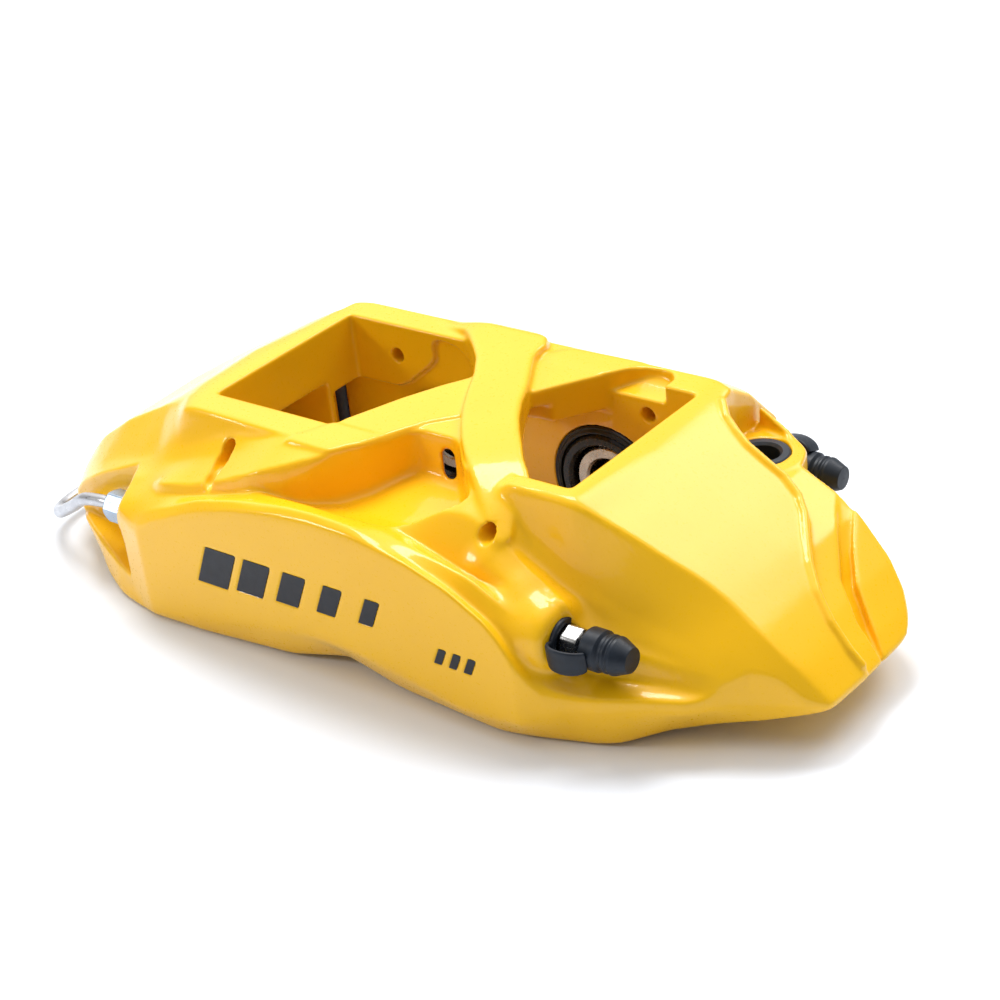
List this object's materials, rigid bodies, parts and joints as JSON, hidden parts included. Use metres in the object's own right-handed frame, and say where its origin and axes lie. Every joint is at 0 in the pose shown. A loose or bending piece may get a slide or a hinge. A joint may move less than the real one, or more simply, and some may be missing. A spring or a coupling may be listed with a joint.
{
  "type": "brake caliper",
  "caption": "Fixed opposed-piston disc brake caliper: one-piece enamelled housing with a crossed bridge, radial mounting lugs, crossover pipe and capped bleed screws.",
  "frame": {"origin": "midway between the two mounting bolts, on the mounting face under the lugs", "axes": "+X along the caliper, +Y inboard towards the hub carrier, +Z radially outward from the disc's centre"},
  "size_m": [0.3394, 0.1528, 0.0775],
  "materials": {
    "yellow_enamel": "gloss yellow enamel on cast aluminium",
    "black_anodised": "black hard anodised",
    "turned_steel": "turned stainless steel",
    "seal_rubber": "moulded",
    "boot_rubber": "moulded, satin",
    "pipe_steel": "silver plated steel tube",
    "zinc_nut": "bluish zinc plate",
    "bleed_steel": "plated steel",
    "cap_rubber": "moulded, blue-black",
    "black_bush": "black oxide",
    "grey_enamel": "dark grey enamel fill"
  },
  "bodies": {
    "housing": {"caliper_body": "yellow_enamel", "piston_seal_outboard_left": "seal_rubber", "piston_seal_outboard_right": "seal_rubber", "piston_seal_inboard_left": "seal_rubber", "piston_seal_inboard_right": "seal_rubber", "dust_boot_outboard_left": "boot_rubber", "dust_boot_outboard_right": "boot_rubber", "dust_boot_inboard_left": "boot_rubber", "dust_boot_inboard_right": "boot_rubber", "crossover_pipe": "pipe_steel", "pipe_nut_outboard": "zinc_nut", "pipe_nut_inboard": "zinc_nut", "cap_tether_outboard": "cap_rubber", "cap_tether_inboard": "cap_rubber", "mount_bush_left": "black_bush", "mount_bush_right": "black_bush", "face_stripes": "grey_enamel"},
    "piston_outboard_left_body": {"piston_outboard_left": "black_anodised", "heat_insert_outboard_left": "turned_steel"},
    "piston_outboard_right_body": {"piston_outboard_right": "black_anodised", "heat_insert_outboard_right": "turned_steel"},
    "piston_inboard_left_body": {"piston_inboard_left": "black_anodised", "heat_insert_inboard_left": "turned_steel"},
    "piston_inboard_right_body": {"piston_inboard_right": "black_anodised", "heat_insert_inboard_right": "turned_steel"},
    "bleed_screw_outboard_body": {"bleed_screw_outboard": "bleed_steel"},
    "bleed_cap_outboard_body": {"bleed_cap_outboard": "cap_rubber"},
    "bleed_screw_inboard_body": {"bleed_screw_inboard": "bleed_steel"},
    "bleed_cap_inboard_body": {"bleed_cap_inboard": "cap_rubber"}
  },
  "joints": [
    {"name": "piston_outboard_left_slide", "type": "slide", "parent": "housing", "child": "piston_outboard_left_body", "axis": [0, 1, 0], "range_m": [0, 0.012]},
    {"name": "piston_outboard_right_slide", "type": "slide", "parent": "housing", "child": "piston_outboard_right_body", "axis": [0, 1, 0], "range_m": [0, 0.012]},
    {"name": "piston_inboard_left_slide", "type": "slide", "parent": "housing", "child": "piston_inboard_left_body", "axis": [0, -1, 0], "range_m": [0, 0.012]},
    {"name": "piston_inboard_right_slide", "type": "slide", "parent": "housing", "child": "piston_inboard_right_body", "axis": [0, -1, 0], "range_m": [0, 0.012]},
    {"name": "bleed_screw_outboard_turn", "type": "hinge", "parent": "housing", "child": "bleed_screw_outboard_body", "pos_m": [0.087, -0.105, 0.0175], "axis": [1, 0, 0], "range_deg": [0, 90]},
    {"name": "bleed_cap_outboard_pull", "type": "slide", "parent": "housing", "child": "bleed_cap_outboard_body", "axis": [1, 0, 0], "range_m": [0, 0.016]},
    {"name": "bleed_screw_inboard_turn", "type": "hinge", "parent": "housing", "child": "bleed_screw_inboard_body", "pos_m": [0.087, 0.023, 0.0175], "axis": [1, 0, 0], "range_deg": [0, 90]},
    {"name": "bleed_cap_inboard_pull", "type": "slide", "parent": "housing", "child": "bleed_cap_inboard_body", "axis": [1, 0, 0], "range_m": [0, 0.016]}
  ]
}
